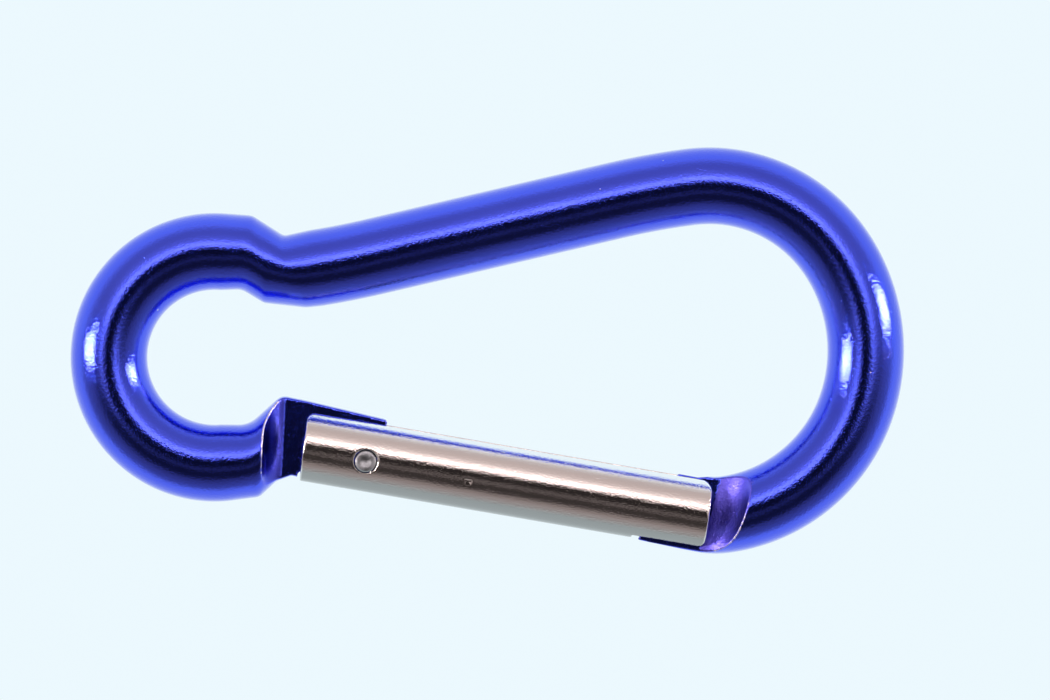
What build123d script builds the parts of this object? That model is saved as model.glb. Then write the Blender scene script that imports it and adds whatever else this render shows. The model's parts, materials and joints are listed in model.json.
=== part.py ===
from build123d import *
import math
import os

# Keyring carabiner: a bent and milled aluminium rod with a sprung, rolled sheet steel gate.
# It lies flat: +X runs from the small eye to the wide end, +Y away from the gate, and +Z through
# its thickness. The origin is under the middle of its outline, on the surface it lies on.
# Lengths are in millimetres and angles in degrees. Points of the gate's frame are (u, v): u runs
# from the pivot along the closed gate to its nose end, and v towards the inside of the carabiner.

# rod, and a length that reaches past whatever is being cut
ROD_RADIUS = 3.7
BLADE_THICKNESS = 2.0
BEYOND = 12.0

# gate: the pivot's place in the plan, and the line the closed gate lies along
PIVOT = Vector(-11.63, -10.58, ROD_RADIUS)
GATE_HEADING = -9.7
GATE_LEFT = -6.1
GATE_RIGHT = 33.25
GATE_END_LEAN = 2.0
GATE_OUTER_RADIUS = 3.43
SHEET = 0.5
GATE_INNER_RADIUS = GATE_OUTER_RADIUS - SHEET
GATE_AXIS_V = 0.48
SLOT_WIDTH = 2.3
NOSE_SLOT_START = 26.3
HINGE_CORNER_RADIUS = 0.8
NOSE_CORNER_RADIUS = 1.4
NOSE_SLOT_CORNER_RADIUS = 1.1
HINGE_SLOT_CORNER_RADIUS = 0.1
OUTLINE_MARGIN = 0.02
OPENING_ANGLE = 25.0

# pivot rivet, pressed into the blade and running in the gate's two holes
PIN_RADIUS = 1.05
GATE_HOLE_RADIUS = 1.13
RIVET_LENGTH = 6.64
RIVET_CHAMFER = 0.25
PUNCH_RADIUS = 0.5
PUNCH_DEPTH = 0.15

# small eye, and the corners of the two pressed necks that join it to the spine and the hinge
EYE_CENTRE = Vector(-26.15, -0.65, ROD_RADIUS)
EYE_RADIUS = 10.15
EYE_END_ANGLE = 85.0
SPINE_NECK_OUTSIDE = [(-22.55, 12.97), (-19.5, 11.03)]
SPINE_NECK_OUTSIDE_RADII = [1.4, 0.7]
SPINE_NECK_INSIDE = [(-23.6, 5.85), (-21.45, 4.55), (-17.4, 4.1)]
SPINE_NECK_INSIDE_RADII = [1.6, 1.2, 4.0]
HINGE_NECK_OUTSIDE = [(-21.85, -14.05), (-20.25, -12.55)]
HINGE_NECK_OUTSIDE_RADII = [1.2, 0.7]
HINGE_NECK_INSIDE = [(-22.9, -7.1), (-19.76, -4.28)]
HINGE_NECK_INSIDE_RADII = [2.5, 1.2]
NECK_SECTIONS = 25

# centreline of the rod from its nose: straight, five bends as (radius, turn), the spine, and a
# slight bend at the spine's end; and what is taken off the nose's two edges, as plan outlines
NOSE_V = 0.4
NOSE_TIP_U = 28.3
NOSE_TIP_SLANT = 22.0
NOSE_BEND_U = 32.7
NOSE_INNER_TRIM = [(26.0, 3.9), (31.6, 3.8), (32.9, 4.12), (32.9, 9.0), (26.0, 9.0)]
NOSE_OUTER_TRIM = [(26.0, -3.02), (33.4, -3.31), (33.4, -9.0), (26.0, -9.0)]
WIDE_END_BENDS = [(7.0, 17.4), (15.5, 63.4), (16.7, 51.8), (14.7, 64.6), (73.0, 5.6)]
SPINE_LENGTH = 23.9
SPINE_END_RADIUS = 76.0
SPINE_END_TURN = -4.2

# hinge tail: the last straight of the rod, which is milled into the hinge blade
TAIL_U = -6.6
TAIL_V = 1.06
TAIL_TURN = -3.6

# milled coves beside the blades: where each one's flat ends, how far its cutter's axis leans
# from v, the cutter's radius, and how far the axis stands over the flat from the flat's end
NOSE_COVE_U = 33.35
NOSE_COVE_V = 4.0
NOSE_COVE_LEAN = -7.0
NOSE_COVE_RADIUS = 3.7
HINGE_COVE_U = -8.25
HINGE_COVE_V = 1.2
HINGE_COVE_LEAN = 6.6
HINGE_COVE_RADIUS = 2.7
HINGE_COVE_OVERLAP = 0.87

# hinge blade: the finger that covers the slot, the corner that pushes the plunger, and the heel,
# whose lower edge stops the gate shut and whose slanted edge stops it open
SHOULDER_U = -6.25
FINGER_TIP_U = 1.2
FINGER_ROOT_U = -1.5
FINGER_THICKNESS = 0.8
FINGER_ROOT_DROP = 0.4
CONTACT_U = 2.0
CONTACT_V = 2.0
HEEL_RADIUS = 2.05

# return spring, its plunger, and the lanced seats in the gate that hold its far end
PLUNGER_GAP = 0.06
PLUNGER_HEAD_RADIUS = 2.3
PLUNGER_HEAD_LENGTH = 0.9
PLUNGER_STEM_RADIUS = 1.1
PLUNGER_STEM_LENGTH = 4.0
PLUNGER_EDGE = 0.15
SEAT_U = 10.0
SEAT_V = -0.45
SEAT_LENGTH = 1.0
SEAT_WIDTH = 0.8
SEAT_REACH = 1.75
SEAT_DEPTH = 0.3
SEAT_TAPER = -20.0
SPRING_RADIUS = 2.05
WIRE_RADIUS = 0.225
SPRING_COILS = 8
SPRING_GAP = 0.05


# ---- frames of reference ----------------------------------------------------------------------


def gate_plane(u=0.0, v=0.0, lean=0.0):
    """Plane in the plan at a point of the gate's frame, turned by lean from the gate's line."""
    base = Plane(origin=PIVOT).rotated((0, 0, GATE_HEADING))
    return Plane(origin=base.from_local_coords(Vector(u, v, 0))).rotated((0, 0, GATE_HEADING + lean))


def across_plane(u, v):
    """Plane square to the gate, with its normal along u, its x along v and its y upwards."""
    base = gate_plane(u, v)
    return Plane(origin=base.origin, x_dir=base.y_dir, z_dir=base.x_dir)


def prism(sketch, half_height=BEYOND):
    return extrude(sketch, amount=half_height, both=True)


# ---- frame: rod, necks, blades ----------------------------------------------------------------


def swept_rod(path):
    start = Plane(origin=path @ 0, z_dir=path % 0)
    return sweep(start * Circle(ROD_RADIUS), path=path)


def wide_end_path():
    """Centreline from inside the gate, round the wide end and along the spine to its neck."""
    start = gate_plane(NOSE_SLOT_START, NOSE_V).origin
    edges = [Line(start, gate_plane(NOSE_BEND_U, NOSE_V).origin)]
    for radius, turn in WIDE_END_BENDS:
        edges.append(JernArc(edges[-1] @ 1, edges[-1] % 1, radius, turn))
    edges.append(Line(edges[-1] @ 1, edges[-1] @ 1 + (edges[-1] % 1) * SPINE_LENGTH))
    edges.append(JernArc(edges[-1] @ 1, edges[-1] % 1, SPINE_END_RADIUS, SPINE_END_TURN))
    return Wire([edge.edge() for edge in edges])


def eye_path():
    """Centreline of the small eye, from the spine's neck round to the hinge's."""
    turn = 360 - 2 * EYE_END_ANGLE
    return Plane(origin=EYE_CENTRE) * CenterArc((0, 0), EYE_RADIUS, EYE_END_ANGLE, turn)


def tail_path():
    """Centreline of the hinge tail, from its neck to past the finger's tip."""
    tail = gate_plane(TAIL_U, TAIL_V, TAIL_TURN)
    return Line(tail.origin, tail.from_local_coords(Vector(FINGER_TIP_U - TAIL_U, 0, 0)))


def edge_point(point, tangent, side):
    """Point of the rod's outline beside a point of its centreline; side 1 is left of the tangent."""
    return point + Vector(-tangent.Y, tangent.X, 0) * (side * ROD_RADIUS)


def neck_outline(start, corners, end, radii):
    """One side of a neck: straights between its corners, each corner rounded."""
    inner = [Vector(x, y, ROD_RADIUS) for x, y in corners]
    return FilletPolyline(start, *inner, end, radius=radii)


def pressed_neck(outside, inside):
    """Rod of elliptical section that keeps between two outlines."""
    sections = []
    for k in range(NECK_SECTIONS):
        t = k / (NECK_SECTIONS - 1)
        across = (outside @ t) - (inside @ t)
        middle = (inside @ t) + across * 0.5
        plane = Plane(origin=middle, x_dir=across, z_dir=across.cross(Vector(0, 0, 1)))
        sections.append(plane * Ellipse(across.length / 2, ROD_RADIUS))
    return loft(sections)


def spine_neck(eye, spine):
    outside = neck_outline(
        edge_point(eye @ 0, eye % 0, -1),
        SPINE_NECK_OUTSIDE,
        edge_point(spine @ 1, spine % 1, -1),
        SPINE_NECK_OUTSIDE_RADII,
    )
    inside = neck_outline(
        edge_point(eye @ 0, eye % 0, 1),
        SPINE_NECK_INSIDE,
        edge_point(spine @ 1, spine % 1, 1),
        SPINE_NECK_INSIDE_RADII,
    )
    return pressed_neck(outside, inside)


def hinge_neck(eye, tail):
    outside = neck_outline(
        edge_point(eye @ 1, eye % 1, -1),
        HINGE_NECK_OUTSIDE,
        edge_point(tail @ 0, tail % 0, -1),
        HINGE_NECK_OUTSIDE_RADII,
    )
    inside = neck_outline(
        edge_point(eye @ 1, eye % 1, 1),
        HINGE_NECK_INSIDE,
        edge_point(tail @ 0, tail % 0, 1),
        HINGE_NECK_INSIDE_RADII,
    )
    return pressed_neck(outside, inside)


def mill_cut(plane, radius, overlap):
    """What a cutter takes off above and below a blade. The plane's x points into the blade, its
    origin is where the flat ends, and its y is along the cutter's axis."""
    flat = BLADE_THICKNESS / 2
    height = 2 * ROD_RADIUS
    section = Plane(origin=plane.origin, x_dir=plane.x_dir, z_dir=-plane.y_dir)
    over_flat = section * Pos(overlap, flat) * Rectangle(BEYOND, height, align=(Align.MIN, Align.MIN))
    before = section * Pos(overlap, flat) * Rectangle(BEYOND, height, align=(Align.MAX, Align.MIN))
    rise = math.sqrt(radius**2 - overlap**2)
    wheel = section * Pos(overlap, flat + rise) * Circle(radius)
    upper = prism(over_flat + (wheel & before))
    return upper + mirror(upper, about=Plane(origin=plane.origin))


def heel_sketch():
    """Blade inside the gate: the shut stop, a round heel, the open stop and the contact corner."""
    tangent = Vector(math.cos(math.radians(OPENING_ANGLE)), math.sin(math.radians(OPENING_ANGLE)))
    heel_end = Vector(tangent.Y, -tangent.X) * HEEL_RADIUS
    stop_end = heel_end + tangent * ((CONTACT_U - heel_end.X) / tangent.X)
    stop = Line((SHOULDER_U, -HEEL_RADIUS), (0, -HEEL_RADIUS))
    heel = CenterArc((0, 0), HEEL_RADIUS, -90, OPENING_ANGLE)
    rest = Polyline(
        heel_end,
        stop_end,
        (CONTACT_U, CONTACT_V),
        (FINGER_ROOT_U, CONTACT_V + FINGER_ROOT_DROP),
        (FINGER_ROOT_U, 2 * ROD_RADIUS),
        (SHOULDER_U, 2 * ROD_RADIUS),
        (SHOULDER_U, -HEEL_RADIUS),
    )
    return gate_plane() * make_face([*stop.edges(), *heel.edges(), *rest.edges()])


def finger_sketch():
    """Finger along the rod's inner edge, with a round tip."""
    tail = gate_plane(TAIL_U, TAIL_V, TAIL_TURN)
    half = FINGER_THICKNESS / 2
    middle = ROD_RADIUS - half
    tip = FINGER_TIP_U - TAIL_U - half
    root = FINGER_ROOT_U - TAIL_U - half
    bar = Rectangle(tip - root, 2 * FINGER_THICKNESS, align=(Align.MIN, Align.MIN))
    return tail * (Pos(root, middle - half) * bar + Pos(tip, middle) * Circle(half))


def hinge_blade_trim():
    """Everything past the shoulder that isn't heel or finger."""
    field = Rectangle(2 * BEYOND, 2 * BEYOND, align=(Align.MIN, Align.CENTER))
    return prism(gate_plane(SHOULDER_U) * field - heel_sketch() - finger_sketch())


def nose_trim():
    """Slants the nose blade's end, inside the gate, and narrows the blade towards it."""
    plane = gate_plane(NOSE_TIP_U, NOSE_V, -NOSE_TIP_SLANT)
    end = prism(plane * Rectangle(BEYOND, BEYOND, align=(Align.MAX, Align.CENTER)))
    inner = prism(gate_plane() * make_face(Polyline(*NOSE_INNER_TRIM, close=True).edges()))
    outer = prism(gate_plane() * make_face(Polyline(*NOSE_OUTER_TRIM, close=True).edges()))
    return end + inner + outer


def frame():
    eye = eye_path()
    spine = wide_end_path()
    tail = tail_path()
    body = swept_rod(spine) + swept_rod(eye) + swept_rod(tail)
    body += spine_neck(eye, spine)
    body += hinge_neck(eye, tail)
    hinge_cove = gate_plane(HINGE_COVE_U, HINGE_COVE_V, HINGE_COVE_LEAN)
    nose_cove = gate_plane(NOSE_COVE_U, NOSE_COVE_V, NOSE_COVE_LEAN + 180)
    body -= mill_cut(hinge_cove, HINGE_COVE_RADIUS, HINGE_COVE_OVERLAP)
    body -= mill_cut(nose_cove, NOSE_COVE_RADIUS, 0)
    body -= hinge_blade_trim()
    body -= nose_trim()
    return body - prism(gate_plane() * Circle(PIN_RADIUS))


# ---- gate -------------------------------------------------------------------------------------


def lip_reach(radius):
    """How far a slotted edge of the sheet stands from the tube's axis."""
    return math.sqrt(radius**2 - (SLOT_WIDTH / 2) ** 2)


def gate_corner(end, v):
    """Corner of the gate's outline at its hinge or nose end, which are cut slightly off square."""
    return Vector(end - (v - GATE_AXIS_V) * math.tan(math.radians(GATE_END_LEAN)), v)


def gate_outline():
    """Plan of the gate with its corners rounded, just clear of the tube along both sides."""
    lip = GATE_AXIS_V + lip_reach(GATE_OUTER_RADIUS) + OUTLINE_MARGIN
    back = GATE_AXIS_V - GATE_OUTER_RADIUS - OUTLINE_MARGIN
    corners = [
        gate_corner(GATE_LEFT, back),
        gate_corner(GATE_RIGHT, back),
        gate_corner(GATE_RIGHT, lip),
        gate_corner(GATE_LEFT, lip),
    ]
    radii = [
        HINGE_SLOT_CORNER_RADIUS,
        NOSE_SLOT_CORNER_RADIUS,
        NOSE_CORNER_RADIUS,
        HINGE_CORNER_RADIUS,
    ]
    return gate_plane() * make_face(FilletPolyline(*corners, radius=radii, close=True).edges())


def gate_sheet():
    """Rolled tube, open along v for the hinge blade and, at the nose end, the other way too."""
    ring = Circle(GATE_OUTER_RADIUS) - Circle(GATE_INNER_RADIUS)
    inner_slot = Rectangle(BEYOND, SLOT_WIDTH, align=(Align.MIN, Align.CENTER))
    outer_slot = Rectangle(BEYOND, SLOT_WIDTH, align=(Align.MAX, Align.CENTER))
    middle = across_plane((GATE_LEFT + GATE_RIGHT) / 2, GATE_AXIS_V)
    tube = extrude(middle * (ring - inner_slot), amount=GATE_RIGHT - GATE_LEFT, both=True)
    tube -= extrude(across_plane(NOSE_SLOT_START, GATE_AXIS_V) * outer_slot, amount=BEYOND)
    return tube & prism(gate_outline())


def spring_seats():
    """Two square bumps punched inwards, one above the spring and one below it."""
    wall = math.sqrt(GATE_INNER_RADIUS**2 - (SEAT_V - GATE_AXIS_V) ** 2)
    tip = Plane.XY.offset(SEAT_REACH) * Rectangle(SEAT_LENGTH, SEAT_WIDTH)
    bump = gate_plane(SEAT_U, SEAT_V).location * extrude(tip, amount=wall + SHEET / 2 - SEAT_REACH)
    return bump + mirror(bump, about=gate_plane())


def seat_dents():
    skin = math.sqrt(GATE_OUTER_RADIUS**2 - (SEAT_V - GATE_AXIS_V) ** 2)
    floor = Plane.XY.offset(skin - SEAT_DEPTH) * Rectangle(SEAT_LENGTH, SEAT_WIDTH)
    dent = gate_plane(SEAT_U, SEAT_V).location * extrude(floor, 2 * SEAT_DEPTH, taper=SEAT_TAPER)
    return dent + mirror(dent, about=gate_plane())


def gate_sleeve():
    sleeve = gate_sheet() + spring_seats() - seat_dents()
    return sleeve - prism(gate_plane() * Circle(GATE_HOLE_RADIUS))


# ---- rivet, plunger and spring ----------------------------------------------------------------


def pivot_rivet():
    """Pin with staked ends: each one chamfered, with a punch mark in its middle."""
    pin = Cylinder(PIN_RADIUS, RIVET_LENGTH)
    pin = chamfer(pin.edges().filter_by(GeomType.CIRCLE), RIVET_CHAMFER)
    middle = Pos(0, 0, (RIVET_LENGTH - PUNCH_DEPTH) / 2)
    mark = middle * Cone(PUNCH_RADIUS / 2, PUNCH_RADIUS, PUNCH_DEPTH)
    return gate_plane().location * (pin - mark - mirror(mark, about=Plane.XY))


def plunger():
    """Headed pin: the spring pushes its head against the blade's contact corner."""
    front = across_plane(CONTACT_U + PLUNGER_GAP, GATE_AXIS_V)
    back = across_plane(CONTACT_U + PLUNGER_GAP + PLUNGER_HEAD_LENGTH, GATE_AXIS_V)
    head = extrude(front * Circle(PLUNGER_HEAD_RADIUS), amount=PLUNGER_HEAD_LENGTH)
    head = chamfer(head.edges().filter_by(GeomType.CIRCLE), PLUNGER_EDGE)
    stem = extrude(back * Circle(PLUNGER_STEM_RADIUS), amount=PLUNGER_STEM_LENGTH)
    tip = stem.edges().filter_by(GeomType.CIRCLE).sort_by_distance(back.origin)[-1]
    return head + chamfer(tip, 2 * PLUNGER_EDGE)


def return_spring():
    """Compression spring between the plunger's head and the gate's seats."""
    start = CONTACT_U + PLUNGER_GAP + PLUNGER_HEAD_LENGTH + SPRING_GAP + WIRE_RADIUS
    end = SEAT_U - SEAT_LENGTH / 2 - SPRING_GAP - WIRE_RADIUS
    axis = across_plane(start, GATE_AXIS_V)
    centreline = axis * Helix((end - start) / SPRING_COILS, end - start, SPRING_RADIUS)
    wire = Plane(origin=centreline @ 0, z_dir=centreline % 0) * Circle(WIRE_RADIUS)
    return sweep(wire, path=centreline, is_frenet=True)


PARTS = {
    "frame": frame,
    "gate_sleeve": gate_sleeve,
    "pivot_rivet": pivot_rivet,
    "plunger": plunger,
    "return_spring": return_spring,
}

os.makedirs("parts", exist_ok=True)
for name, make in PARTS.items():
    export_step(make(), f"parts/{name}.step")
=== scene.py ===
import json
import math

import bmesh
import bpy
import numpy as np
from mathutils import Matrix, Vector


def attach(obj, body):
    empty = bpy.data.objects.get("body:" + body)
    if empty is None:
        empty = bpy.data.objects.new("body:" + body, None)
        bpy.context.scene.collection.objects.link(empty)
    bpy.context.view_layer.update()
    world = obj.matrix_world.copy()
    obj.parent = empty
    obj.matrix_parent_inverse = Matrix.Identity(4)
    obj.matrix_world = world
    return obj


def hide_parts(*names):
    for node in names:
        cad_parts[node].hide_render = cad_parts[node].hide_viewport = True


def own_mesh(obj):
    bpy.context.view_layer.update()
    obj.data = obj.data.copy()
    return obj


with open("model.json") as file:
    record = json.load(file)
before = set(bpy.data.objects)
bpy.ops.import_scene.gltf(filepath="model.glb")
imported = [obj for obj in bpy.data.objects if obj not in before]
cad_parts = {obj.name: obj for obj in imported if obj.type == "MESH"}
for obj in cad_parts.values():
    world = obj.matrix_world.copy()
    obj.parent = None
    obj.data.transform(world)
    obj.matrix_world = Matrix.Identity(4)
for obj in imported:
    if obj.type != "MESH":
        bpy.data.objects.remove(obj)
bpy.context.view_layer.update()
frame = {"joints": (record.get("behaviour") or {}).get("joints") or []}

MM = 0.001

# ---- where things are: the gate's frame comes from the pivot joint and the plunger's slide ------
joints = {joint["name"]: joint for joint in frame["joints"]}
pivot = Vector(joints["gate_pivot"]["pos_m"]) / MM
along_gate = Vector(joints["plunger_slide"]["axis"])
GATE_TURN = math.atan2(along_gate.y, along_gate.x)
MIDDLE_Z = pivot.z

# ---- the carabiner's shape, in millimetres: u runs along the closed gate from its pivot, v inwards
ROD = 3.7
BLADE = 1.0
GATE_LEFT, GATE_RIGHT = -6.1, 33.25
GATE_LEAN = math.radians(2.0)
GATE_OUTER, SHEET, GATE_V = 3.43, 0.5, 0.48
SLOT = 1.15
NOSE_SLOT = 26.3
NOSE_SLOT_CORNER, NOSE_CORNER, HINGE_CORNER, HINGE_SLOT_CORNER = 1.1, 1.4, 0.8, 0.1
SEAT_U, SEAT_V, SEAT_LENGTH, SEAT_WIDTH, SEAT_REACH = 10.0, -0.45, 1.0, 0.8, 1.75
DENT_FLOOR, DENT_HALF_LENGTH, DENT_HALF_WIDTH, DENT_SPREAD = 3.235, 0.38, 0.36, 0.12
PIN = 1.05
PLUNGER_GAP = 0.06
HEAD, HEAD_LENGTH, STEM, STEM_LENGTH = 2.3, 0.9, 1.1, 4.0
SPRING, WIRE, COILS, SPRING_GAP = 2.05, 0.225, 8, 0.05
PIN_HEIGHT = 3.32
GATE_HOLE = 1.13
EYE = Vector((-26.15, -0.65))
EYE_RADIUS = 10.15
EYE_END = 85.0
# corners of the two pressed necks beside the eye, each with its rounding
SPINE_NECK_OUTER = [Vector((-19.5, 11.03)), Vector((-22.55, 12.97))]
SPINE_NECK_INNER = [Vector((-17.4, 4.1)), Vector((-21.45, 4.55)), Vector((-23.6, 5.85))]
SPINE_NECK_RADII = [0.7, 1.4], [4.0, 1.2, 1.6]
HINGE_NECK_OUTER = [Vector((-21.85, -14.05)), Vector((-20.25, -12.55))]
HINGE_NECK_INNER = [Vector((-22.9, -7.1)), Vector((-19.76, -4.28))]
HINGE_NECK_RADII = [1.2, 0.7], [2.5, 1.2]
NECK_RINGS = 60
NOSE_V = 0.4
NOSE_TIP_U, NOSE_TIP_SLANT, NOSE_BEND_U = 28.3, 22.0, 32.7
NOSE_INNER_TRIM = [(26.0, 3.9), (31.6, 3.8), (32.9, 4.12), (32.9, 9.0), (26.0, 9.0)]
NOSE_OUTER_TRIM = [(26.0, -3.02), (33.4, -3.31), (33.4, -9.0), (26.0, -9.0)]
WIDE_END_BENDS = [(7.0, 17.4), (15.5, 63.4), (16.7, 51.8), (14.7, 64.6), (73.0, 5.6)]
SPINE = 23.9
SPINE_END = (76.0, -4.2)
TAIL_U, TAIL_V, TAIL_TURN = -6.6, 1.06, -3.6
SHOULDER_U = -6.25
HEEL, CONTACT, OPENING = 2.05, 2.0, math.radians(25.0)
FINGER_TIP, FINGER_ROOT, FINGER, FINGER_DROP = 1.2, -1.5, 0.8, 0.4
FAR, FLAT = 9.0, 14.0
# milled coves: where the flat ends, the cutter's lean and radius, and its axis past the flat's end
HINGE_COVE = (-8.25, 1.2, math.radians(6.6), 2.7, 0.87)
NOSE_COVE = (33.35, 4.0, math.radians(173.0), 3.7, 0.0)


# ---- small geometry helpers, all in millimetres ---------------------------------------------------


def turned(vector, angle):
    c, s = math.cos(angle), math.sin(angle)
    return Vector((vector.x * c - vector.y * s, vector.x * s + vector.y * c))


def from_gate(u, v):
    """Plan position of a point of the gate's frame."""
    return pivot.xy + turned(Vector((u, v)), GATE_TURN)


def arc_points(start, heading, radius, turn, step=0.35):
    """Points and headings along an arc that leaves start along heading; positive turns left."""
    side = 1 if turn > 0 else -1
    centre = start + turned(heading, side * math.pi / 2) * radius
    count = max(8, int(radius * abs(math.radians(turn)) / step))
    found = []
    for k in range(1, count + 1):
        angle = math.radians(turn) * k / count
        found.append((centre + turned(start - centre, angle), turned(heading, angle)))
    return found


def rounded_line(points, radii, count):
    """count points evenly spaced along a line whose inner corners are rounded."""
    dense = [points[0]]
    for k, radius in enumerate(radii, 1):
        before = (points[k - 1] - points[k]).normalized()
        after = (points[k + 1] - points[k]).normalized()
        half = before.angle(after) / 2
        reach = radius / math.tan(half)
        centre = points[k] + (before + after).normalized() * (radius / math.sin(half))
        first, last = points[k] + before * reach, points[k] + after * reach
        sweep = (first - centre).angle_signed(last - centre)
        for j in range(41):
            dense.append(centre + turned(first - centre, -sweep * j / 40))
    dense.append(points[-1])
    lengths = np.cumsum([0] + [(b - a).length for a, b in zip(dense, dense[1:])])
    wanted = np.linspace(0, lengths[-1], count)
    xs = np.interp(wanted, lengths, [p.x for p in dense])
    ys = np.interp(wanted, lengths, [p.y for p in dense])
    return [Vector(p) for p in zip(xs, ys)]


def made(name, bm):
    bmesh.ops.recalc_face_normals(bm, faces=bm.faces)
    mesh = bpy.data.meshes.new(name)
    bm.to_mesh(mesh)
    bm.free()
    obj = bpy.data.objects.new(name, mesh)
    bpy.context.scene.collection.objects.link(obj)
    return obj


def skinned(name, bm, rings):
    """Solid from rings of vertices: a skin from each ring to the next, and a cap at each end."""
    count = len(rings[0])
    for a, b in zip(rings, rings[1:]):
        for k in range(count):
            j = (k + 1) % count
            bm.faces.new((a[k], a[j], b[j], b[k]))
    bm.faces.new(rings[0])
    bm.faces.new(rings[-1])
    return made(name, bm)


def prism(name, outline, place, low=-FAR, high=FAR):
    """Upright solid over a plan outline, whose points place() carries into the plan."""
    bm = bmesh.new()
    plan = [place(*point) for point in outline]
    rings = [[bm.verts.new((p.x, p.y, MIDDLE_Z + z)) for p in plan] for z in (low, high)]
    return skinned(name, bm, rings)


def across(name, outline, origin, heading, half=FAR):
    """Solid whose outline is (along heading, height) and which runs sideways both ways."""
    bm = bmesh.new()
    side = turned(heading, math.pi / 2)
    rings = []
    for sign in (-1, 1):
        ring = []
        for x, z in outline:
            p = origin + heading * x + side * (sign * half)
            ring.append(bm.verts.new((p.x, p.y, MIDDLE_Z + z)))
        rings.append(ring)
    return skinned(name, bm, rings)


def cut(body, tool, operation="DIFFERENCE"):
    """Applies a boolean to body and removes the tool."""
    modifier = body.modifiers.new("cut", "BOOLEAN")
    modifier.operation = operation
    modifier.solver = "EXACT"
    modifier.object = tool
    apply_all(body)
    bpy.data.objects.remove(tool)


def apply_all(obj):
    bpy.context.view_layer.update()
    mesh = bpy.data.meshes.new_from_object(obj.evaluated_get(bpy.context.evaluated_depsgraph_get()))
    obj.modifiers.clear()
    old = obj.data
    obj.data = mesh
    bpy.data.meshes.remove(old)


def worn(obj, voxel, passes, faces):
    """Even mesh with softly worn edges: remeshed, smoothed a little and thinned where it's plain.
    The remesh grid lies along the gate, so that the gate's and blades' straight edges stay clean."""
    obj.data.transform(Matrix.Rotation(-GATE_TURN, 4, "Z"))
    remesh = obj.modifiers.new("remesh", "REMESH")
    remesh.mode = "VOXEL"
    remesh.voxel_size = voxel
    smooth = obj.modifiers.new("smooth", "SMOOTH")
    smooth.iterations = passes
    smooth.factor = 0.5
    apply_all(obj)
    count = 2 * len(obj.data.polygons)
    if count > faces:
        thin = obj.modifiers.new("thin", "DECIMATE")
        thin.ratio = faces / count
        apply_all(obj)
    obj.data.transform(Matrix.Rotation(GATE_TURN, 4, "Z"))
    mark_edges(obj.data)
    finished(obj)


def mark_edges(mesh):
    """Stores on each vertex how sharp a convex edge it lies on, from 0 to 1: the value that the materials
    use for edge wear and a painted edge highlight.
    """
    count = len(mesh.vertices)
    places, normals = np.empty((count, 3)), np.empty((count, 3))
    mesh.vertices.foreach_get("co", places.ravel())
    mesh.vertices.foreach_get("normal", normals.ravel())
    ends = np.empty((len(mesh.edges), 2), dtype=int)
    mesh.edges.foreach_get("vertices", ends.ravel())
    first, second = ends.T
    gap = places[second] - places[first]
    bend = ((normals[second] - normals[first]) * gap).sum(axis=1) / (gap**2).sum(axis=1)
    degree = np.bincount(ends.ravel(), minlength=count)

    def gathered(from_first, from_second):
        total = np.bincount(first, from_second, count) + np.bincount(second, from_first, count)
        return total / np.maximum(degree, 1)

    curve = gathered(bend, bend)
    for _ in range(2):
        curve = (curve + gathered(curve[first], curve[second])) / 2
    # one value for edge wear and for a painted highlight along sharp convex edges
    wear_and_highlight = np.clip((curve - 1.3) / 2.2, 0.0, 1.0)
    mesh.attributes.new("edge_wear_and_highlight", "FLOAT", "POINT").data.foreach_set("value", wear_and_highlight)


def finished(obj):
    """From millimetres to metres, with smooth shading."""
    obj.data.transform(Matrix.Scale(MM, 4))
    obj.data.polygons.foreach_set("use_smooth", [True] * len(obj.data.polygons))
    obj.data.update()


# ---- frame ----------------------------------------------------------------------------------------


def neck_pairs(outer, inner, radii):
    """Point pairs along a pressed neck, without the first, which the rod before it has."""
    outer = rounded_line(outer, radii[0], NECK_RINGS)
    inner = rounded_line(inner, radii[1], NECK_RINGS)
    return list(zip(outer, inner))[1:]


def rod_rings():
    """(outer, inner) point pairs along the whole rod, from the nose to past the finger."""
    pairs = []

    def add(point, heading):
        side = turned(heading, math.pi / 2) * ROD
        pairs.append((point - side, point + side))

    heading = turned(Vector((1, 0)), GATE_TURN)
    point = from_gate(NOSE_SLOT, NOSE_V)
    add(point, heading)
    point = from_gate(NOSE_BEND_U, NOSE_V)
    add(point, heading)
    for radius, turn in WIDE_END_BENDS:
        for point, heading in arc_points(point, heading, radius, turn):
            add(point, heading)
    point = point + heading * SPINE
    add(point, heading)
    for point, heading in arc_points(point, heading, *SPINE_END):
        add(point, heading)

    spine_end = pairs[-1]
    eye_start = EYE + turned(Vector((EYE_RADIUS, 0)), math.radians(EYE_END))
    eye_heading = turned(Vector((0, 1)), math.radians(EYE_END))
    side = turned(eye_heading, math.pi / 2) * ROD
    outer = [spine_end[0], *SPINE_NECK_OUTER, eye_start - side]
    inner = [spine_end[1], *SPINE_NECK_INNER, eye_start + side]
    pairs.extend(neck_pairs(outer, inner, SPINE_NECK_RADII))

    for point, heading in arc_points(eye_start, eye_heading, EYE_RADIUS, 360 - 2 * EYE_END):
        add(point, heading)
    eye_end = pairs[-1]
    tail_heading = turned(Vector((1, 0)), GATE_TURN + math.radians(TAIL_TURN))
    tail_start = from_gate(TAIL_U, TAIL_V)
    side = turned(tail_heading, math.pi / 2) * ROD
    outer = [eye_end[0], *HINGE_NECK_OUTER, tail_start - side]
    inner = [eye_end[1], *HINGE_NECK_INNER, tail_start + side]
    pairs.extend(neck_pairs(outer, inner, HINGE_NECK_RADII))
    add(tail_start + tail_heading * (FINGER_TIP - TAIL_U), tail_heading)
    return pairs


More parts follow.
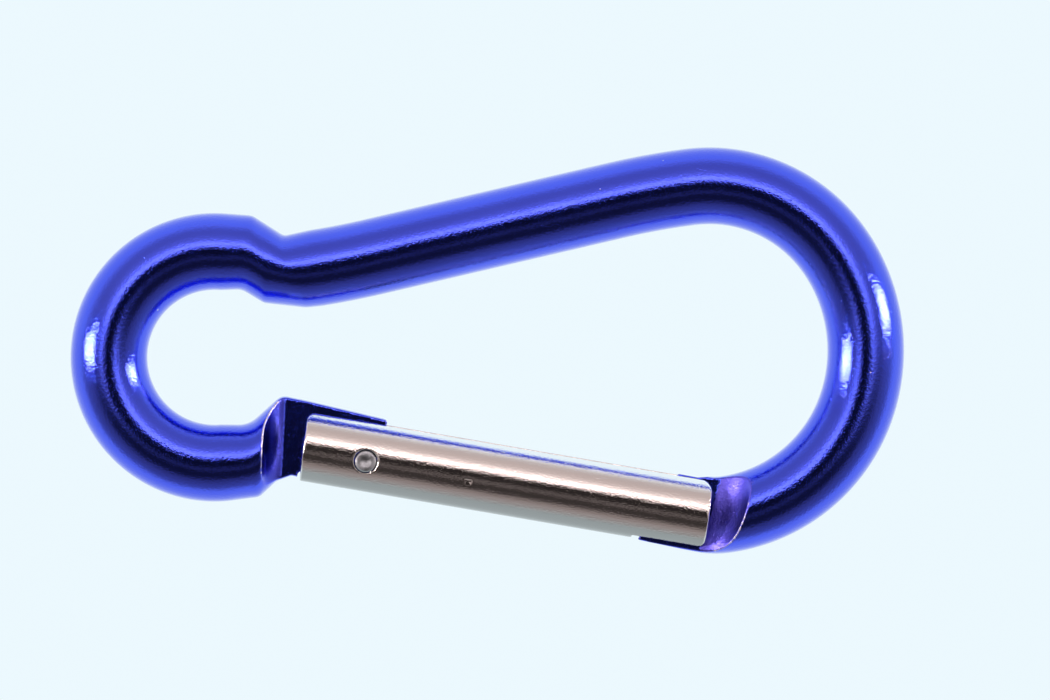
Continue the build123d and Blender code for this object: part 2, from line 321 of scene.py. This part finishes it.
def rod_solid(segments=96):
    bm = bmesh.new()
    rings = []
    for outer, inner in rod_rings():
        middle, reach = (outer + inner) / 2, (outer - inner) / 2
        ring = []
        for k in range(segments):
            angle = 2 * math.pi * k / segments
            p = middle + reach * math.cos(angle)
            ring.append(bm.verts.new((p.x, p.y, MIDDLE_Z + ROD * math.sin(angle))))
        rings.append(ring)
    return skinned("carabiner_frame", bm, rings)


def mill_section(radius, overlap):
    """Upper cutter's section: over the flat, then up the cove."""
    rise = math.sqrt(radius**2 - overlap**2)
    top = BLADE + 7
    section = [(FLAT, BLADE), (FLAT, top), (overlap - radius, top)]
    low = math.asin(rise / radius)
    for k in range(33):
        angle = math.pi + low * k / 32
        section.append((overlap + radius * math.cos(angle), BLADE + rise + radius * math.sin(angle)))
    return section


def mill(body, u, v, lean, radius, overlap):
    """Mills a blade from both faces, with a cove at the end of its flats."""
    heading = turned(Vector((1, 0)), GATE_TURN + lean)
    section = mill_section(radius, overlap)
    for sign in (1, -1):
        outline = [(x, sign * z) for x, z in section]
        cut(body, across("cutter", outline, from_gate(u, v), heading))


def heel_outline():
    tangent = Vector((math.cos(OPENING), math.sin(OPENING)))
    end = Vector((tangent.y, -tangent.x)) * HEEL
    corner = end + tangent * ((CONTACT - end.x) / tangent.x)
    outline = [(SHOULDER_U - 1, -HEEL)]
    for k in range(13):
        angle = -math.pi / 2 + OPENING * k / 12
        outline.append((HEEL * math.cos(angle), HEEL * math.sin(angle)))
    outline += [tuple(corner), (CONTACT, CONTACT), (FINGER_ROOT, CONTACT + FINGER_DROP)]
    return outline + [(FINGER_ROOT, FAR), (SHOULDER_U - 1, FAR)]


def finger_outline():
    half = FINGER / 2
    middle = ROD - half
    tip, root = FINGER_TIP - TAIL_U - half, FINGER_ROOT - TAIL_U - half
    outline = [(root, middle - half)]
    for k in range(17):
        angle = -math.pi / 2 + math.pi * k / 16
        outline.append((tip + half * math.cos(angle), middle + half * math.sin(angle)))
    return outline + [(tip, ROD + half), (root, ROD + half)]


def from_tail(x, y):
    return from_gate(TAIL_U, TAIL_V) + turned(Vector((x, y)), GATE_TURN + math.radians(TAIL_TURN))


def from_nose(x, y):
    slant = GATE_TURN - math.radians(NOSE_TIP_SLANT)
    return from_gate(NOSE_TIP_U, NOSE_V) + turned(Vector((x, y)), slant)


def frame_piece():
    body = rod_solid()
    mill(body, *HINGE_COVE)
    mill(body, *NOSE_COVE)
    field = [(SHOULDER_U, -FAR), (FAR, -FAR), (FAR, FAR), (SHOULDER_U, FAR)]
    trim = prism("trim", field, from_gate)
    cut(trim, prism("heel", heel_outline(), from_gate, -FAR - 1, FAR + 1))
    cut(trim, prism("finger", finger_outline(), from_tail, -FAR - 1, FAR + 1))
    cut(body, trim)
    cut(body, prism("slant", [(-FAR, -FAR), (0, -FAR), (0, FAR), (-FAR, FAR)], from_nose))
    cut(body, prism("inner_trim", NOSE_INNER_TRIM, from_gate))
    cut(body, prism("outer_trim", NOSE_OUTER_TRIM, from_gate))
    circle = [(PIN * math.cos(a), PIN * math.sin(a)) for a in np.linspace(0, 2 * math.pi, 48, False)]
    cut(body, prism("bore", circle, from_gate))
    worn(body, 0.12, 2, 190000)
    mark_coves(body.data)
    return body


def mark_coves(mesh):
    """Stores how matt the coves are as milled, 0 to 1, and how strongly a painted highlight lines the
    coves' rims, 0 to 1, from the sharp-edge value.
    """
    places = np.empty((len(mesh.vertices), 3))
    mesh.vertices.foreach_get("co", places.ravel())
    places /= MM
    milled, rim, wear_and_highlight_there = np.zeros((3, len(places)))
    mesh.attributes["edge_wear_and_highlight"].data.foreach_get("value", wear_and_highlight_there)
    for (u, v, lean, radius, overlap), matt in ((HINGE_COVE, 0.35), (NOSE_COVE, 1.0)):
        origin, heading = from_gate(u, v), turned(Vector((1, 0)), GATE_TURN + lean)
        x = (places[:, :2] - np.array(origin)) @ np.array(heading)
        z = np.abs(places[:, 2] - MIDDLE_Z)
        rise = math.sqrt(radius**2 - overlap**2)
        away = np.abs(np.hypot(x - overlap, z - BLADE - rise) - radius)
        near = np.hypot(*(places[:, :2] - np.array(origin)).T) < 8
        milled[(away < 0.1) & (x < 0.05) & (z > BLADE + 0.03) & near] = matt
        # rim of each cove, where a near-white painted highlight goes
        edge = (away < 0.3) & (x < 0.2) & (z > BLADE + 0.3) & near
        rim[edge] = wear_and_highlight_there[edge]
    mesh.attributes.new("painted_rim_highlight", "FLOAT", "POINT").data.foreach_set("value", rim)
    mesh.attributes.new("milled", "FLOAT", "POINT").data.foreach_set("value", milled)


# ---- gate -----------------------------------------------------------------------------------------


def tube_solid():
    """Rolled sheet, open along the inside."""
    gap = [math.asin(SLOT / r) for r in (GATE_OUTER, GATE_OUTER - SHEET)]
    section = []
    for radius, half, way in ((GATE_OUTER, gap[0], 1), (GATE_OUTER - SHEET, gap[1], -1)):
        angles = np.linspace(math.pi / 2 + half, 5 * math.pi / 2 - half, 161)[::way]
        section += [(GATE_V + radius * math.sin(a), radius * math.cos(a)) for a in angles]
    bm = bmesh.new()
    rings = []
    for u in (GATE_LEFT - 1, GATE_RIGHT + 1):
        ring = []
        for v, z in section:
            p = from_gate(u, v)
            ring.append(bm.verts.new((p.x, p.y, MIDDLE_Z + z)))
        rings.append(ring)
    return skinned("gate_tube", bm, rings)


def gate_outline():
    lip = GATE_V + math.sqrt(GATE_OUTER**2 - SLOT**2) + 0.02
    back = GATE_V - GATE_OUTER - 0.02

    def corner(end, v):
        return Vector((end - (v - GATE_V) * math.tan(GATE_LEAN), v))

    middle = (GATE_LEFT + GATE_RIGHT) / 2
    points = [
        Vector((middle, back)),
        corner(GATE_RIGHT, back),
        corner(GATE_RIGHT, lip),
        corner(GATE_LEFT, lip),
        corner(GATE_LEFT, back),
        Vector((middle, back)),
    ]
    radii = [NOSE_SLOT_CORNER, NOSE_CORNER, HINGE_CORNER, HINGE_SLOT_CORNER]
    dense = rounded_line(points, radii, 1200)
    return [tuple(p) for p in dense[:-1]]


def seat(name, reach, high, half_length, half_width, spread, sign):
    """Square bump or dent over the spring's seat, widening by spread towards high."""
    bm = bmesh.new()
    rings = []
    for z, more in ((reach, 0.0), (high, spread)):
        ring = []
        for a, b in ((-1, -1), (1, -1), (1, 1), (-1, 1)):
            p = from_gate(SEAT_U + a * (half_length + more), SEAT_V + b * (half_width + more))
            ring.append(bm.verts.new((p.x, p.y, MIDDLE_Z + sign * z)))
        rings.append(ring)
    return skinned(name, bm, rings)


def gate_piece():
    body = tube_solid()
    cut(body, prism("outline", gate_outline(), from_gate), "INTERSECT")
    slot = [(NOSE_SLOT, -FAR), (FAR * 4, -FAR), (FAR * 4, -1), (NOSE_SLOT, -1)]
    cut(body, prism("nose_slot", slot, from_gate, -SLOT, SLOT))
    for sign in (1, -1):
        bump = seat("bump", SEAT_REACH, 3.0, SEAT_LENGTH / 2, SEAT_WIDTH / 2, 0.0, sign)
        cut(body, bump, "UNION")
        dent = seat("dent", DENT_FLOOR, 3.6, DENT_HALF_LENGTH, DENT_HALF_WIDTH, DENT_SPREAD, sign)
        cut(body, dent)
    angles = np.linspace(0, 2 * math.pi, 64, False)
    circle = [(GATE_HOLE * math.cos(a), GATE_HOLE * math.sin(a)) for a in angles]
    cut(body, prism("gate_hole", circle, from_gate))
    worn(body, 0.11, 2, 120000)
    body.name = "gate_tube"
    return body


# ---- rivet, plunger and spring --------------------------------------------------------------------


def lathe(name, profile, place, segments=64):
    """Turned piece: profile is (along, radius) from end to end, and place() carries (along, a, b)."""
    bm = bmesh.new()
    rings = []
    for along, radius in profile:
        ring = []
        for k in range(segments):
            a = 2 * math.pi * k / segments
            ring.append(bm.verts.new(place(along, radius * math.cos(a), radius * math.sin(a))))
        rings.append(ring)
    return skinned(name, bm, rings)


def rivet_piece():
    """Staked pin: a flat end with a worn rim round a shallow punch mark, the same on both sides."""
    half = [(PIN_HEIGHT - 0.1, 0.02), (PIN_HEIGHT - 0.1, 0.34), (PIN_HEIGHT - 0.02, 0.47)]
    half += [(PIN_HEIGHT, 0.6), (PIN_HEIGHT - 0.005, 0.82), (PIN_HEIGHT - 0.03, 0.93)]
    half += [(PIN_HEIGHT - 0.09, 1.01), (PIN_HEIGHT - 0.2, 1.045), (PIN_HEIGHT - 0.4, PIN)]
    profile = half + [(-z, r) for z, r in reversed(half)]

    def place(along, a, b):
        return (pivot.x + a, pivot.y + b, MIDDLE_Z + along)

    rivet = lathe("rivet_pin", profile, place)
    finished(rivet)
    return rivet


def along_gate_place(along, a, b):
    p = from_gate(along, GATE_V + a)
    return (p.x, p.y, MIDDLE_Z + b)


def plunger_piece():
    start = CONTACT + PLUNGER_GAP
    neck = start + HEAD_LENGTH
    end = neck + STEM_LENGTH
    profile = [(start, HEAD - 0.15), (start + 0.05, HEAD - 0.04), (start + 0.15, HEAD)]
    profile += [(neck - 0.15, HEAD), (neck - 0.05, HEAD - 0.04), (neck, HEAD - 0.15)]
    profile += [(neck, STEM + 0.05), (neck + 0.1, STEM), (end - 0.3, STEM)]
    profile += [(end - 0.05, STEM - 0.15), (end, STEM - 0.3)]
    plunger = lathe("plunger_pin", profile, along_gate_place)
    finished(plunger)
    return plunger


def spring_piece():
    start = CONTACT + PLUNGER_GAP + HEAD_LENGTH + SPRING_GAP + WIRE
    end = SEAT_U - SEAT_LENGTH / 2 - SPRING_GAP - WIRE
    steps, around = COILS * 40, 16
    bm = bmesh.new()
    rings = []
    for k in range(steps + 1):
        t = k / steps
        angle = 2 * math.pi * COILS * t
        out = Vector((0, math.cos(angle), math.sin(angle)))
        ring = []
        for j in range(around):
            a = 2 * math.pi * j / around
            p = out * (SPRING + WIRE * math.cos(a))
            along = start + (end - start) * t + WIRE * math.sin(a)
            ring.append(bm.verts.new(along_gate_place(along, p.y, p.z)))
        rings.append(ring)
    spring = skinned("spring_coil", bm, rings)
    finished(spring)
    return spring


# ---- materials ------------------------------------------------------------------------------------


class Nodes:
    """Short hand for building a material's nodes."""

    def __init__(self, material):
        self.tree = material.node_tree
        self.shader = self.tree.nodes["Principled BSDF"]
        self.place = self.add("ShaderNodeTexCoord").outputs["Object"]

    def add(self, kind, **settings):
        node = self.tree.nodes.new(kind)
        for name, value in settings.items():
            setattr(node, name, value)
        return node

    def link(self, source, target):
        self.tree.links.new(source, target)

    def put(self, value, socket):
        """Links an output, or sets a number or colour."""
        if isinstance(value, bpy.types.NodeSocket):
            self.link(value, socket)
        else:
            socket.default_value = value

    def math(self, operation, a, b=0.0, c=0.0):
        node = self.add("ShaderNodeMath", operation=operation)
        for value, socket in zip((a, b, c), node.inputs):
            self.put(value, socket)
        return node.outputs[0]

    def ramp(self, value, low, high, to_low=0.0, to_high=1.0):
        node = self.add("ShaderNodeMapRange", interpolation_type="SMOOTHSTEP")
        names = ("Value", "From Min", "From Max", "To Min", "To Max")
        for setting, name in zip((value, low, high, to_low, to_high), names):
            self.put(setting, node.inputs[name])
        return node.outputs[0]

    def turned_place(self, angle, stretch):
        node = self.add("ShaderNodeMapping")
        self.link(self.place, node.inputs["Vector"])
        node.inputs["Rotation"].default_value = (0, 0, angle)
        node.inputs["Scale"].default_value = stretch
        return node.outputs[0]

    def noise(self, scale, detail=2.0, rough=0.5, place=None, distortion=0.0):
        node = self.add("ShaderNodeTexNoise")
        self.link(place or self.place, node.inputs["Vector"])
        node.inputs["Scale"].default_value = scale
        node.inputs["Detail"].default_value = detail
        node.inputs["Roughness"].default_value = rough
        node.inputs["Distortion"].default_value = distortion
        return node.outputs["Fac"]

    def mix(self, factor, a, b):
        node = self.add("ShaderNodeMix", data_type="RGBA")
        self.put(factor, node.inputs[0])
        self.put(a, node.inputs[6])
        self.put(b, node.inputs[7])
        return node.outputs[2]

    def attribute(self, name):
        return self.add("ShaderNodeAttribute", attribute_name=name).outputs["Fac"]

    def bump(self, height, distance, strength=1.0, normal=None):
        node = self.add("ShaderNodeBump")
        node.inputs["Strength"].default_value = strength
        node.inputs["Distance"].default_value = distance
        self.link(height, node.inputs["Height"])
        if normal is not None:
            self.link(normal, node.inputs["Normal"])
        return node.outputs["Normal"]


def new_material(name, metallic, roughness, coat=0.0):
    material = bpy.data.materials.new(name)
    material.use_nodes = True
    nodes = Nodes(material)
    nodes.shader.inputs["Metallic"].default_value = metallic
    nodes.shader.inputs["Roughness"].default_value = roughness
    nodes.shader.inputs["Coat Weight"].default_value = coat
    nodes.shader.inputs["Coat Roughness"].default_value = 0.08
    return material, nodes


def scratches(n, angle, spacing, width, seed):
    """Thin broken lines at an angle: 1 on a scratch."""
    place = n.turned_place(angle, (1.0, 1.0, 1.0))
    shift = n.add("ShaderNodeVectorMath", operation="ADD")
    n.link(place, shift.inputs[0])
    shift.inputs[1].default_value = (seed * 0.013, seed * 0.007, 0.0)
    split = n.add("ShaderNodeSeparateXYZ")
    n.link(shift.outputs[0], split.inputs[0])
    wander = n.noise(180.0, 2.0, 0.5, shift.outputs[0])
    wander = n.math("MULTIPLY", wander, 1.3)
    line = n.math("MULTIPLY_ADD", split.outputs["Y"], 1.0 / spacing, wander)
    near = n.math("ABSOLUTE", n.math("SUBTRACT", n.math("FRACT", line), 0.5))
    thin = n.ramp(near, 0.0, width / spacing, 1.0, 0.0)
    broken = n.ramp(n.noise(260.0, 1.0, 0.5, shift.outputs[0]), 0.56, 0.66)
    return n.math("MULTIPLY", thin, broken)


def blue_anodised():
    """Dyed and sealed aluminium: mirror bright on the rod, matt with cutter lines in the coves."""
    material, n = new_material("blue_anodised", 1.0, 0.12, 1.0)
    milled = n.attribute("milled")
    cloud = n.noise(110.0, 3.0, 0.55)
    base = n.mix(cloud, (0.026, 0.062, 0.80, 1), (0.036, 0.084, 0.92, 1))
    base = n.mix(milled, base, (0.105, 0.09, 0.80, 1))
    # lighter blue patches on sharp edges: partly edge wear, partly painted highlight
    patches = n.ramp(n.noise(700.0, 3.0, 0.6), 0.35, 0.6, 0.05, 0.5)
    wear_and_highlight = n.math("MULTIPLY", n.attribute("edge_wear_and_highlight"), patches)
    base = n.mix(wear_and_highlight, base, (0.34, 0.34, 0.84, 1))
    # near-white painted highlight along the coves' rims
    rim = n.attribute("painted_rim_highlight")
    base = n.mix(n.ramp(rim, 0.1, 0.6, 0.0, 0.9), base, (0.85, 0.82, 0.96, 1))
    cells = n.add("ShaderNodeTexVoronoi")
    n.link(n.place, cells.inputs["Vector"])
    cells.inputs["Scale"].default_value = 300.0
    nicks = n.ramp(cells.outputs["Distance"], 0.02, 0.035, 1.0, 0.0)
    base = n.mix(nicks, base, (0.5, 0.5, 0.8, 1))
    n.link(base, n.shader.inputs["Base Color"])
    lines = n.noise(5200.0, 2.0, 0.5, n.turned_place(-GATE_TURN - 0.1, (0.04, 1.0, 1.0)))
    marks = scratches(n, 0.35, 0.009, 0.00006, 3.0)
    rough = n.ramp(n.noise(900.0, 3.0, 0.6), 0.3, 0.7, 0.09, 0.14)
    rough = n.math("ADD", rough, n.math("MULTIPLY", marks, 0.1))
    rough = n.math("ADD", rough, n.math("MULTIPLY", milled, 0.24))
    rough = n.math("ADD", rough, n.math("MULTIPLY", rim, 0.25))
    n.link(rough, n.shader.inputs["Roughness"])
    n.link(n.math("MULTIPLY_ADD", milled, 0.25, 0.07), n.shader.inputs["Coat Roughness"])
    normal = n.bump(n.noise(4200.0, 2.0, 0.6), 0.00002)
    normal = n.bump(n.noise(9000.0, 1.0, 0.5), 0.000008, 1.0, normal)
    normal = n.bump(n.math("MULTIPLY", lines, milled), 0.000016, 1.0, normal)
    normal = n.bump(marks, -0.00001, 0.6, normal)
    normal = n.bump(nicks, -0.00003, 0.6, normal)
    n.link(normal, n.shader.inputs["Normal"])
    n.link(normal, n.shader.inputs["Coat Normal"])
    n.shader.inputs["Coat IOR"].default_value = 1.52
    return material


def nickel_plate():
    """Plated sheet with rolling marks along it, with painted shade on the side facing outwards and a
    painted highlight on the side facing inwards.
    """
    material, n = new_material("nickel_plate", 1.0, 0.1)
    along = n.turned_place(-GATE_TURN, (0.08, 1.0, 1.0))
    drawn = n.noise(2400.0, 4.0, 0.6, along)
    cloud = n.noise(140.0, 3.0, 0.5, along)
    base = n.mix(cloud, (0.70, 0.68, 0.67, 1), (0.78, 0.76, 0.74, 1))
    facing = n.add("ShaderNodeVectorMath", operation="DOT_PRODUCT")
    n.link(n.add("ShaderNodeTexCoord").outputs["Normal"], facing.inputs[0])
    outwards = turned(Vector((0, -1)), GATE_TURN)
    facing.inputs[1].default_value = (outwards.x, outwards.y, 0.0)
    # painted shade: darker where the sheet faces outwards, standing for the shadowed floor it reflects
    base = n.mix(n.ramp(facing.outputs["Value"], 0.56, 0.74), base, (0.34, 0.34, 0.33, 1))
    # painted highlight: lighter where the sheet faces inwards
    base = n.mix(n.ramp(facing.outputs["Value"], -0.6, -0.72), base, (0.95, 0.95, 0.96, 1))
    # lighter along sharp edges: partly wear, partly painted highlight
    base = n.mix(n.attribute("edge_wear_and_highlight"), base, (0.9, 0.9, 0.9, 1))
    n.link(base, n.shader.inputs["Base Color"])
    marks = scratches(n, -0.55, 0.011, 0.00005, 7.0)
    rough = n.math("ADD", n.ramp(drawn, 0.3, 0.7, 0.06, 0.1), n.math("MULTIPLY", marks, 0.15))
    n.link(rough, n.shader.inputs["Roughness"])
    normal = n.bump(drawn, 0.000008)
    normal = n.bump(n.noise(5200.0, 2.0, 0.6), 0.000018, 1.0, normal)
    normal = n.bump(n.noise(9500.0, 1.0, 0.5), 0.000008, 1.0, normal)
    normal = n.bump(marks, -0.00001, 0.7, normal)
    n.link(normal, n.shader.inputs["Normal"])
    return material


def plain_steel(name, light, dark, roughness, scale):
    material, n = new_material(name, 1.0, roughness)
    spots = n.noise(scale, 3.0, 0.6)
    base = n.mix(n.ramp(spots, 0.35, 0.65), dark, light)
    n.link(base, n.shader.inputs["Base Color"])
    n.link(n.ramp(spots, 0.3, 0.7, roughness - 0.06, roughness + 0.1), n.shader.inputs["Roughness"])
    n.link(n.bump(n.noise(scale * 4, 3.0, 0.6), 0.00001), n.shader.inputs["Normal"])
    return material


def dress(obj, material, body, node):
    obj.data.materials.clear()
    obj.data.materials.append(material)
    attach(obj, body)
    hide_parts(node)


# ---- studio ---------------------------------------------------------------------------------------


# brightness of the tent at angles from straight up in degrees, on its +Y and its -Y side
TENT_BACK = [(0, 0.02), (12, 0.025), (15, 0.3), (18, 2.7), (24, 2.6), (30, 1.15), (40, 0.74)]
TENT_BACK += [(52, 0.58), (66, 0.56), (76, 0.68), (84, 0.92), (90, 0.98)]
TENT_FRONT = [(0, 0.02), (14, 0.025), (17, 0.15), (22, 0.14), (26, 0.035), (47, 0.05)]
TENT_FRONT += [(54, 0.22), (70, 0.33), (80, 0.4), (88, 0.7), (90, 0.8)]


def world_light():
    """A light tent: pale near the floor, a bright arc high on the +Y side and dark straight up."""
    world = bpy.data.worlds.new("studio_tent")
    world.use_nodes = True
    bpy.context.scene.world = world
    tree = world.node_tree
    link = tree.links.new

    def math_node(operation, a, b=0.0):
        node = tree.nodes.new("ShaderNodeMath")
        node.operation = operation
        for value, socket in zip((a, b), node.inputs):
            if isinstance(value, bpy.types.NodeSocket):
                link(value, socket)
            else:
                socket.default_value = value
        return node.outputs[0]

    def ramp(value, stops):
        node = tree.nodes.new("ShaderNodeValToRGB")
        link(value, node.inputs[0])
        stops_now = node.color_ramp.elements
        for at, level in stops[1:-1]:
            stops_now.new(at / 90)
        for element, (at, level) in zip(stops_now, stops):
            element.position = at / 90
            element.color = (level / 4, level / 4, level / 4, 1)
        return node.outputs[0]

    direction = tree.nodes.new("ShaderNodeTexCoord").outputs["Generated"]
    split = tree.nodes.new("ShaderNodeSeparateXYZ")
    link(direction, split.inputs[0])
    polar = math_node("DIVIDE", math_node("ARCCOSINE", split.outputs["Z"]), math.pi / 2)
    back = ramp(polar, TENT_BACK)
    front = ramp(polar, TENT_FRONT)
    side = tree.nodes.new("ShaderNodeMapRange")
    side.interpolation_type = "SMOOTHSTEP"
    across_squared = math_node("MULTIPLY", split.outputs["X"], split.outputs["X"])
    away_squared = math_node("MULTIPLY", split.outputs["Y"], split.outputs["Y"])
    flat = math_node("SQRT", math_node("ADD", across_squared, away_squared))
    link(math_node("DIVIDE", split.outputs["Y"], math_node("MAXIMUM", flat, 0.001)), side.inputs["Value"])
    side.inputs["From Min"].default_value = -0.6
    side.inputs["From Max"].default_value = 0.75
    mix = tree.nodes.new("ShaderNodeMix")
    mix.data_type = "RGBA"
    link(side.outputs[0], mix.inputs[0])
    link(front, mix.inputs[6])
    link(back, mix.inputs[7])
    tint = tree.nodes.new("ShaderNodeMix")
    tint.data_type = "RGBA"
    tint.blend_type = "MULTIPLY"
    tint.inputs[0].default_value = 1.0
    link(mix.outputs[2], tint.inputs[6])
    warm = tree.nodes.new("ShaderNodeMix")
    warm.data_type = "RGBA"
    link(ramp(polar, [(0, 4.0), (60, 4.0), (90, 0.0)]), warm.inputs[0])
    warm.inputs[6].default_value = (0.96, 0.99, 1.02, 1)
    warm.inputs[7].default_value = (1.18, 0.97, 0.94, 1)
    link(warm.outputs[2], tint.inputs[7])
    background = tree.nodes["Background"]
    link(tint.outputs[2], background.inputs["Color"])
    background.inputs["Strength"].default_value = 4.0


def lamp(name, azimuth, low, high, width, power, distance=1.2):
    """Upright strip softbox that faces the object, between two elevations in degrees."""
    middle = math.radians((low + high) / 2)
    flat = Vector((math.cos(math.radians(azimuth)), math.sin(math.radians(azimuth)), 0))
    at = flat * (distance * math.cos(middle)) + Vector((0, 0, distance * math.sin(middle)))
    light = bpy.data.lights.new(name, "AREA")
    light.shape = "ELLIPSE"
    light.size = width
    light.size_y = 2 * distance * math.tan(math.radians(high - low) / 2)
    light.energy = power
    light.color = (1.0, 0.84, 0.8)
    obj = bpy.data.objects.new(name, light)
    bpy.context.scene.collection.objects.link(obj)
    obj.location = at
    obj.rotation_mode = "QUATERNION"
    obj.rotation_quaternion = (-at).to_track_quat("-Z", "Y")
    return obj


def floor_piece():
    bm = bmesh.new()
    bmesh.ops.create_grid(bm, x_segments=1, y_segments=1, size=6.0)
    floor = made("floor", bm)
    floor.location.z = -0.00005
    material = bpy.data.materials.new("pale_floor")
    material.use_nodes = True
    shader = material.node_tree.nodes["Principled BSDF"]
    shader.inputs["Base Color"].default_value = (0.0, 0.0, 0.0, 1)
    shader.inputs["Roughness"].default_value = 1.0
    shader.inputs["Specular IOR Level"].default_value = 0.0
    shader.inputs["Emission Color"].default_value = (0.838, 0.943, 0.992, 1)
    shader.inputs["Emission Strength"].default_value = 1.0
    floor.data.materials.append(material)


def camera():
    data = bpy.data.cameras.new("studio_camera")
    data.sensor_width = 36.0
    distance = 0.9
    data.lens = 36.0 * distance / 0.1007
    data.clip_start, data.clip_end = 0.01, 50.0
    obj = bpy.data.objects.new("studio_camera", data)
    bpy.context.scene.collection.objects.link(obj)
    obj.location = (0.0036, 0.00005, MIDDLE_Z * MM + distance)
    bpy.context.scene.camera = obj


# ---- the model ------------------------------------------------------------------------------------

dress(frame_piece(), blue_anodised(), "frame", "frame")
dress(gate_piece(), nickel_plate(), "gate", "gate_sleeve")
steel = plain_steel("rivet_steel", (0.46, 0.5, 0.54, 1), (0.32, 0.35, 0.38, 1), 0.36, 1500.0)
dress(rivet_piece(), steel, "frame", "pivot_rivet")
steel = plain_steel("plunger_steel", (0.45, 0.45, 0.46, 1), (0.3, 0.3, 0.31, 1), 0.3, 900.0)
dress(plunger_piece(), steel, "plunger", "plunger")
steel = plain_steel("spring_steel", (0.5, 0.5, 0.52, 1), (0.34, 0.34, 0.36, 1), 0.25, 1200.0)
spring = spring_piece()
dress(spring, steel, "gate", "return_spring")
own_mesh(spring)

world_light()
lamp("left_strip", 176, 14, 46, 0.045, 6.5)
lamp("right_strip", 12, 6, 34, 0.045, 6.0)
floor_piece()
camera()
bpy.context.scene.view_settings.view_transform = "Standard"
